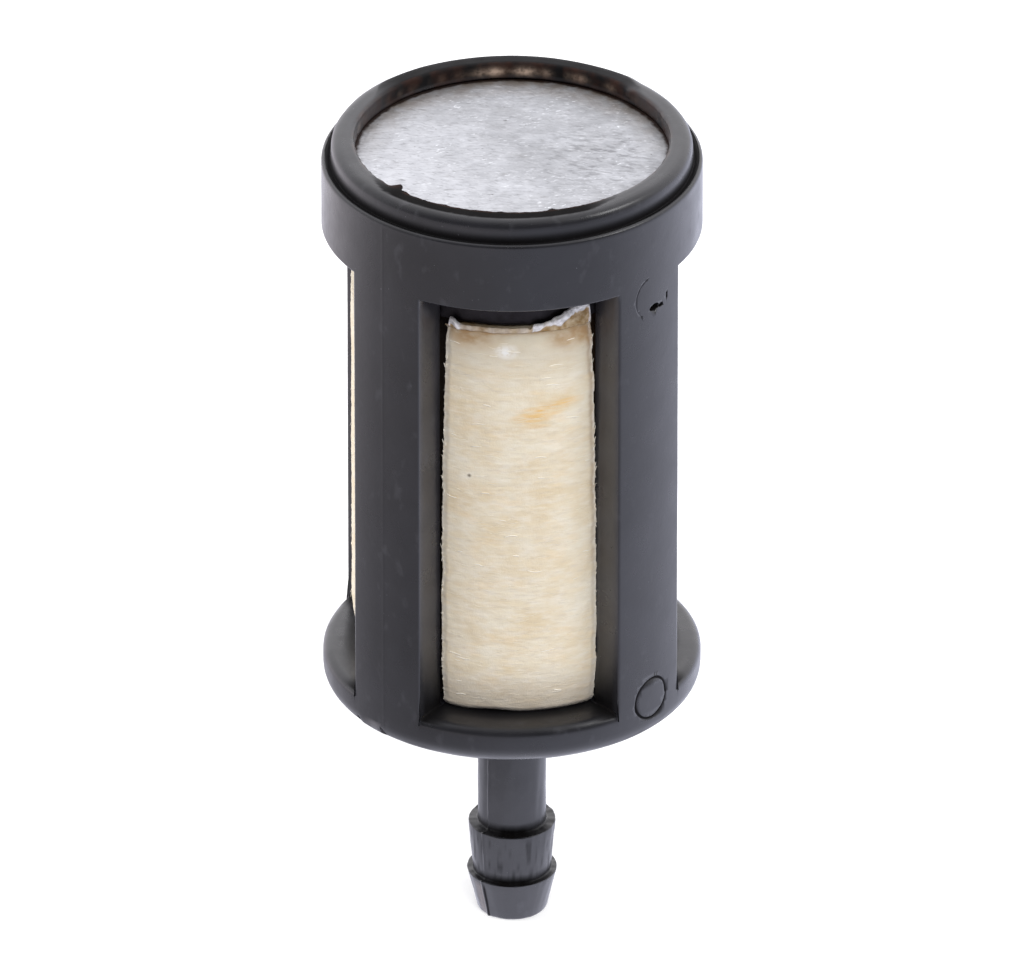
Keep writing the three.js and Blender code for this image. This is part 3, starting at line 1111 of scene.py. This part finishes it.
def nylon_material():
    """Black nylon: satin, with dust, scuffs and a fine moulded grain. Its torn lip edge is dull. Painted on
    it: near-black shade and dark reflections, light on the windows' walls, and warm and brown reflections.
    """
    s = Shader("black_nylon_satin")
    tone = s.mix(s.range(s.noise(3.0), 0.35, 0.65), (0.0085, 0.0085, 0.0105), (0.013, 0.013, 0.016))
    scuffs = s.range(s.noise(0.7, 5.0, (1.0, 1.0, 1.6)), 0.60, 0.74)
    tone = s.tint(tone, scuffs, 0.22, (0.08, 0.08, 0.09))
    dust = s.range(s.noise(0.11, 1.0), 0.80, 0.86)
    tone = s.tint(tone, dust, 0.6, (0.35, 0.35, 0.38))
    rough = s.range(s.noise(1.6, 5.0), 0.3, 0.7, 0.25, 0.36)
    rough = s.plus(rough, s.times(scuffs, 0.12))
    torn = s.stored("torn")
    # Near-black where the torn mask is: the lip's ragged edge, and painted shade and dark reflections.
    tone = s.mix(torn, tone, (0.004, 0.0035, 0.0035))
    # Felt dust and painted light on the windows' side walls, with a painted highlight in their upper inner
    # corners.
    tone = s.tint(tone, s.stored("dust_and_light_paint"), 0.42, (0.108, 0.102, 0.108))
    # A painted brown reflection on the lip's inner wall, just above the weight.
    inner_wall = s.times(s.range(s.radius(), LIP_MOUTH_R + 0.2, LIP_MOUTH_R + 0.1),
                        s.range(s.separate()["Z"], SLUG_TOP_Z - 0.1, SLUG_TOP_Z + 0.1))
    painted_brown_reflection = s.times(inner_wall, s.range(s.noise(1.1, 4.0), 0.4, 0.62, 0.0, 1.0))
    tone = s.tint(tone, painted_brown_reflection, 0.8, (0.030, 0.013, 0.009))
    # Painted warm reflections inside the lip and beside the lower barb's seam.
    warm_painted_reflection = s.times(s.stored("warm_painted_reflection"), s.range(s.noise(0.22, 4.0), 0.3, 0.6, 0.35, 1.0))
    tone = s.mix(warm_painted_reflection, tone, (0.62, 0.46, 0.36))
    rough = s.plus(rough, s.times(torn, 0.4))
    shine = s.range(torn, 0.0, 1.0, 0.68, 0.06)
    normal = s.bump(s.noise(0.35, 3.0), 0.005)
    normal = s.bump(s.noise(0.08, 2.0), 0.002, normal)
    return s.set(Base_Color=tone, Roughness=rough, Normal=normal, Specular_IOR_Level=shine)


def scraped_metal_material():
    """The weight: soft grey-white metal, sheared one way, with flecks, pits and a stained outer edge. Painted
    on it: light towards the left and the near side, a highlight on its near edge, shade in the gap round its
    rim, and shade over its side and neck.
    """
    s = Shader("weight_scraped")
    axes = s.separate()
    cloud = s.range(s.noise(2.0, 5.0, (1.3, 1.0, 1.0)), 0.34, 0.66)
    tone = s.mix(cloud, (0.385, 0.39, 0.405), (0.51, 0.52, 0.545))
    ridges = s.range(s.noise(0.20, 5.0, (2.2, 1.0, 1.0), 10.0), 0.55, 0.70)
    tone = s.tint(tone, ridges, 0.34, (0.76, 0.77, 0.80))
    # Painted light: the disc grows paler towards the left and the near side.
    painted_light_gradient = s.range(s.plus(axes["X"], s.times(axes["Y"], 0.25)), 1.0, -7.0, 0.0, 0.72)
    tone = s.mix(painted_light_gradient, tone, (0.68, 0.69, 0.72))
    scratches = s.noise(0.13, 4.0, (5.0, 1.0, 1.0), 4.0)
    tone = s.mix(s.range(scratches, 0.50, 0.28, 0.0, 0.55), tone, (0.33, 0.33, 0.35))
    across = s.noise(0.15, 4.0, (2.6, 1.0, 1.0), 28.0)
    tone = s.mix(s.range(across, 0.44, 0.27, 0.0, 0.55), tone, (0.24, 0.24, 0.25))
    patches = s.range(s.noise(1.6, 3.0), 0.42, 0.66)
    dashes = s.range(s.noise(0.15, 2.0, (2.4, 1.0, 1.0), -14.0), 0.61, 0.70)
    tone = s.tint(tone, s.times(dashes, patches), 0.85, (0.90, 0.92, 0.95))
    mottle = s.range(s.noise(0.5, 4.0, (1.8, 1.0, 1.0)), 0.38, 0.26)
    tone = s.tint(tone, mottle, 0.5, (0.30, 0.295, 0.30))
    worn = s.near(Vector((4.4, -0.6, SLUG_TOP_Z)), (4.6, 4.6, 2.0))
    gouges = s.range(s.noise(0.24, 3.0, (2.4, 1.0, 1.0), 18.0), 0.50, 0.33)
    tone = s.tint(tone, s.times(worn, gouges), 0.7, (0.20, 0.20, 0.21))
    pits = s.range(s.noise(0.2, 1.5, (1.6, 1.0, 1.0)), 0.27, 0.20)
    tone = s.tint(tone, pits, 0.85, (0.11, 0.105, 0.10))
    outer = s.range(s.radius(), 6.0, 7.7)
    far = s.range(axes["Y"], -1.0, 5.5)
    stain = s.times(s.times(outer, far), s.range(s.noise(0.8, 4.0), 0.28, 0.58))
    tone = s.tint(tone, stain, 0.9, (0.26, 0.22, 0.185))
    # A painted bluish highlight along the near edge.
    near_edge_highlight = s.times(s.range(s.radius(), 6.9, 7.6), s.range(axes["Y"], -2.5, -6.5))
    tone = s.tint(tone, near_edge_highlight, 0.4, (0.60, 0.66, 0.78))
    # Painted shade: a dark brown line in the gap round the rim, at the far side and the flanks.
    rim = s.plus(s.radius(), s.range(s.noise(0.5, 3.0), 0.3, 0.7, -0.08, 0.08))
    rim = s.times(s.range(rim, 7.62, 7.78), s.range(axes["Y"], -5.0, -1.0))
    tone = s.tint(tone, rim, 0.93, (0.035, 0.016, 0.010))
    # Painted shade: the weight's side below its top, and its neck, are near-black.
    tone = s.mix(s.range(axes["Z"], SLUG_TOP_Z - 0.3, SLUG_TOP_Z - 0.8), tone, (0.030, 0.026, 0.029))
    rough = s.range(s.noise(0.7, 4.0), 0.3, 0.7, 0.40, 0.66)
    relief = s.plus(s.times(scratches, 0.6), s.times(across, 0.4))
    normal = s.bump(relief, 0.03)
    normal = s.bump(s.noise(0.45, 4.0), 0.06, normal)
    return s.set(Base_Color=tone, Metallic=0.7, Roughness=rough, Normal=normal)


def torn_metal_material():
    """The torn edge of the weight: bright crinkled metal, browned where it is thin."""
    s = Shader("weight_torn_edge")
    tone = s.mix(s.range(s.noise(0.22, 3.0), 0.35, 0.6), (0.66, 0.64, 0.61), (0.97, 0.95, 0.92))
    white = s.stored("white")
    dirt = s.mix(s.range(s.noise(0.3, 4.0), 0.35, 0.65), (0.35, 0.22, 0.09), (0.62, 0.49, 0.31))
    tone = s.mix(s.range(white, 0.1, 0.6), dirt, tone)
    normal = s.bump(s.noise(0.14, 3.0), 0.04)
    shine = s.range(white, 0.2, 0.8, 0.0, 0.45)
    rough = s.range(white, 0.2, 0.8, 0.9, 0.36)
    return s.set(Base_Color=tone, Metallic=shine, Roughness=rough, Normal=normal)


def felt_material():
    """Cream wound felt: cloudy, with soft pale streaks, tea-coloured stains, frayed edges and specks, painted
    light beside the frayed edges, and painted shade in the creases.
    """
    s = Shader("cream_felt_wound")
    height = s.separate()["Z"]
    cloud = s.range(s.noise(1.3, 5.0, (1.5, 1.5, 1.0)), 0.34, 0.66)
    tone = s.mix(cloud, (0.78, 0.65, 0.43), (0.85, 0.77, 0.59))
    warm = s.range(s.noise(1.0, 3.0, (1.5, 1.5, 0.8)), 0.53, 0.70)
    tone = s.tint(tone, warm, 0.45, (0.88, 0.71, 0.46))
    soft = s.range(s.noise(0.35, 4.0, (2.6, 2.6, 1.0)), 0.46, 0.70)
    tone = s.tint(tone, soft, 0.35, (0.93, 0.88, 0.76))
    streaks = s.range(s.noise(0.15, 5.0, (4.0, 4.0, 1.0)), 0.52, 0.78)
    tone = s.tint(tone, streaks, 0.36, (0.95, 0.91, 0.81))
    thin = s.range(s.noise(0.14, 4.0, (4.5, 4.5, 1.0)), 0.45, 0.28)
    tone = s.tint(tone, thin, 0.32, (0.62, 0.53, 0.41))
    upper = s.range(height, felt_high.z - 3.6, felt_high.z - 0.4, 0.0, 0.7)
    tone = s.mix(upper, tone, (0.58, 0.53, 0.42))
    low = s.range(height, felt_low.z + 2.4, felt_low.z, 0.0, 0.7)
    tone = s.mix(low, tone, (0.50, 0.44, 0.37))
    blotches = s.range(s.noise(0.5, 4.0, (1.6, 1.6, 1.0)), 0.32, 0.58, 0.3, 0.9)
    stain = s.times(s.stored("stain"), blotches)
    tone = s.tint(tone, stain, 0.9, (0.38, 0.205, 0.065))
    streak_noise = s.range(s.noise(0.14, 3.0, (6.0, 6.0, 1.0)), 0.38, 0.6, 0.3, 1.0)
    for degrees, z, length, depth, share in ORANGE_STREAKS:
        streak = s.times(s.near(polar(8.0, degrees, z), (length, 1.2, depth)), streak_noise)
        tone = s.tint(tone, streak, share, (0.84, 0.54, 0.19))
    for degrees, z, size in DARK_SPECKS:
        tone = s.mix(s.near(polar(8.05, degrees, z), (size, size, size)), tone, (0.10, 0.075, 0.045))
    pale = s.times(s.near(polar(8.0, 265.6, 36.15), (0.7, 0.6, 0.5)), s.range(s.noise(0.3), 0.28, 0.5))
    tone = s.tint(tone, pale, 0.8, (0.93, 0.93, 0.90))
    # Pale frayed edges, which also paint light over the felt's shaded shoulder beside each edge.
    tone = s.tint(tone, s.stored("fray_and_light_paint"), 0.62, (1.0, 0.94, 0.82))
    # Painted shade deep in the creases, browner on the right as a painted reflection of the felt in the wall.
    shade = s.mix(s.range(s.separate()["X"], 0.0, 4.0), (0.022, 0.012, 0.007), (0.06, 0.027, 0.011))
    tone = s.tint(tone, s.stored("crease"), 0.97, shade)
    normal = s.bump(s.noise(0.14, 4.0, (3.5, 3.5, 1.0)), 0.03)
    normal = s.bump(s.noise(0.08, 3.0), 0.02, normal)
    sheen = s.range(s.stored("crease"), 0.0, 1.0, 0.3, 0.0)
    return s.set(Base_Color=tone, Roughness=0.95, Normal=normal, Sheen_Weight=sheen)


def fibre_material():
    s = Shader("felt_fibre_white")
    tone = s.mix(s.noise(0.8), (0.88, 0.81, 0.66), (0.95, 0.92, 0.84))
    return s.set(Base_Color=tone, Roughness=0.8, Normal=s.bump(s.noise(0.05), 0.004))


def woven_screen_material():
    """A fine woven screen: two crossing sets of threads round and along the tube."""
    s = Shader("screen_fine_weave")
    threads = s.noise(0.12, 1.0, (1.0, 1.0, 4.0))
    crossing = s.noise(0.12, 1.0, (6.0, 6.0, 1.0))
    weave = s.math("MAXIMUM", threads, crossing)
    tone = s.mix(s.range(weave, 0.4, 0.7), (0.42, 0.44, 0.44), (0.80, 0.82, 0.82))
    return s.set(Base_Color=tone, Roughness=0.55, Normal=s.bump(weave, 0.03))


def core_material():
    s = Shader("core_natural_nylon")
    tone = s.mix(s.noise(1.5), (0.62, 0.58, 0.48), (0.74, 0.71, 0.62))
    return s.set(Base_Color=tone, Roughness=0.45, Normal=s.bump(s.noise(0.2), 0.008))


# ------------------------------------------------------------------ pieces

def dress(obj, material, node=None):
    """Gives a new piece its material and slot, and hides the CAD node that it takes the place of."""
    obj.data.materials.clear()
    obj.data.materials.append(material)
    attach(obj, "root")
    if node:
        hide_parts(node)


def build_pieces():
    dress(build_cage(), nylon_material(), "cage_body")
    dress(build_slug(), scraped_metal_material(), "weight_slug")
    dress(build_burr(), torn_metal_material())
    dress(build_felt(), felt_material(), "felt_sleeve")
    dress(build_fibres(), fibre_material())
    for node, material in (("core_screen", woven_screen_material()), ("support_core", core_material())):
        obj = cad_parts[node]
        obj.data.materials.clear()
        obj.data.materials.append(material)


# ------------------------------------------------------------------ the stage

CAMERA_DISTANCE = 1.2
CAMERA_ELEVATION = 29.0
CAMERA_TURN = -2.4  # the filter stands turned this far to the camera
VIEW_WIDTH = 51.33  # millimetres across the picture at the filter
SENSOR_WIDTH = 36.0
AIM_SHARE = 0.543  # the camera looks at this share of the filter's height
FLOOR_GLOW_FRONT = 0.76
FLOOR_GLOW_BACK = 1.5
FLOOR_SPOT_PLACE = (62.0, 12.0, TIP_Z)
FLOOR_SPOT_GLOW = 0.36
FLOOR_SHADE_PLACE = (-50.0, -10.0, TIP_Z)
FLOOR_SHADE = 0.52
FLOOR_NEAR_PLACE = (0.0, -8.0, TIP_Z)
FLOOR_NEAR_GLOW = 0.58
FLOOR_SEEN_LIFT = 0.34
TENT_GLOW = 0.7
TENT_SLOPES = (("X", 0.10), ("Y", 0.92), ("Z", 0.14))  # brighter to the right, the back and the top
TENT_DARKEST = 0.12


def floor_material():
    """A pale floor, clear from below. What the filter mirrors of it glows as a light tent does:
    bluish in front, warmer on the left, and brightest on the right."""
    s = Shader("pale_floor")
    axes = s.separate()
    glow = s.range(axes["Y"], -60.0, 60.0, FLOOR_GLOW_FRONT, FLOOR_GLOW_BACK)
    hot_spot = s.times(s.near(Vector(FLOOR_SPOT_PLACE), (95.0, 95.0, 95.0)), FLOOR_SPOT_GLOW)
    shade = s.times(s.near(Vector(FLOOR_SHADE_PLACE), (70.0, 70.0, 70.0)), FLOOR_SHADE)
    below = s.times(s.near(Vector(FLOOR_NEAR_PLACE), (16.0, 16.0, 16.0)), FLOOR_NEAR_GLOW)
    glow = s.math("SUBTRACT", s.plus(s.plus(glow, hot_spot), below), shade)
    tint = s.mix(s.range(axes["X"], -60.0, 10.0), (1.0, 0.95, 1.02), (0.93, 0.95, 1.12))
    grain_tone = s.mix(s.noise(60.0), (0.74, 0.74, 0.74), (0.76, 0.76, 0.76))
    seen = s.tree.nodes.new("ShaderNodeLightPath").outputs["Is Camera Ray"]
    facing = s.tree.nodes.new("ShaderNodeNewGeometry").outputs["Backfacing"]
    return s.set(
        Base_Color=s.mix(seen, (0.0, 0.0, 0.0), grain_tone),
        Emission_Color=s.mix(seen, tint, (1.0, 1.0, 1.0)),
        Emission_Strength=s.plus(s.times(seen, FLOOR_SEEN_LIFT),
                                 s.times(s.math("SUBTRACT", 1.0, seen), glow)),
        Roughness=0.9,
        Specular_IOR_Level=0.0,
        Alpha=s.math("SUBTRACT", 1.0, facing),
    )


def build_floor():
    bm = bmesh.new()
    half = 2500.0
    corners = ((-half, -half), (half, -half), (half, half), (-half, half))
    bm.faces.new([bm.verts.new((x, y, TIP_Z)) for x, y in corners])
    floor = object_from_bmesh("floor", bm, smooth=False)
    floor.data.materials.append(floor_material())


def build_world():
    """A light tent: white all round, and much dimmer towards the camera."""
    world = bpy.data.worlds.new("light_tent")
    world.use_nodes = True
    bpy.context.scene.world = world
    tree = world.node_tree
    direction = tree.nodes.new("ShaderNodeTexCoord").outputs["Generated"]
    parts = tree.nodes.new("ShaderNodeSeparateXYZ")
    tree.links.new(direction, parts.inputs[0])
    total = None
    for socket, factor in TENT_SLOPES:
        product = tree.nodes.new("ShaderNodeMath")
        product.operation = "MULTIPLY_ADD"
        tree.links.new(parts.outputs[socket], product.inputs[0])
        product.inputs[1].default_value = factor
        if total:
            tree.links.new(total, product.inputs[2])
        else:
            product.inputs[2].default_value = TENT_GLOW
        total = product.outputs[0]
    dimmest = tree.nodes.new("ShaderNodeMath")
    dimmest.operation = "MAXIMUM"
    dimmest.inputs[0].default_value = TENT_DARKEST
    tree.links.new(total, dimmest.inputs[1])
    tree.links.new(dimmest.outputs[0], tree.nodes["Background"].inputs["Strength"])
    tree.nodes["Background"].inputs["Color"].default_value = (0.985, 0.975, 1.01, 1.0)


def add_area_light(name, place, size, watts, aim, mirrored=True):
    data = bpy.data.lights.new(name, "AREA")
    data.shape = "DISK"
    data.size = size
    data.energy = watts
    light = new_object(name, data)
    light.location = place
    light.rotation_euler = (aim - Vector(place)).to_track_quat("-Z", "Y").to_euler()
    light.visible_glossy = mirrored


def build_lights():
    aim = Vector((0.0, 0.0, AIM_SHARE * CREST_Z * MM))
    add_area_light("front_soft", (0.10, -0.60, 0.72), 0.45, 5.4, aim, mirrored=False)
    add_area_light("left_soft", (-0.70, 0.10, 0.30), 0.40, 3.6, aim, mirrored=False)
    add_area_light("key_right", (0.50, -0.15, 0.50), 0.30, 1.0, aim)


def build_camera():
    data = bpy.data.cameras.new("camera")
    data.sensor_width = SENSOR_WIDTH
    data.lens = SENSOR_WIDTH * CAMERA_DISTANCE / (VIEW_WIDTH * MM)
    data.clip_end = 20.0
    camera = new_object("camera", data)
    elevation, turn = math.radians(CAMERA_ELEVATION), math.radians(CAMERA_TURN)
    back = Vector((
        math.sin(turn) * math.cos(elevation),
        -math.cos(turn) * math.cos(elevation),
        math.sin(elevation),
    ))
    camera.location = Vector((0.0, 0.0, AIM_SHARE * CREST_Z * MM)) + back * CAMERA_DISTANCE
    camera.rotation_euler = back.to_track_quat("Z", "Y").to_euler()
    bpy.context.scene.camera = camera


build_pieces()
build_floor()
build_world()
build_lights()
build_camera()
bpy.context.scene.view_settings.view_transform = "Standard"
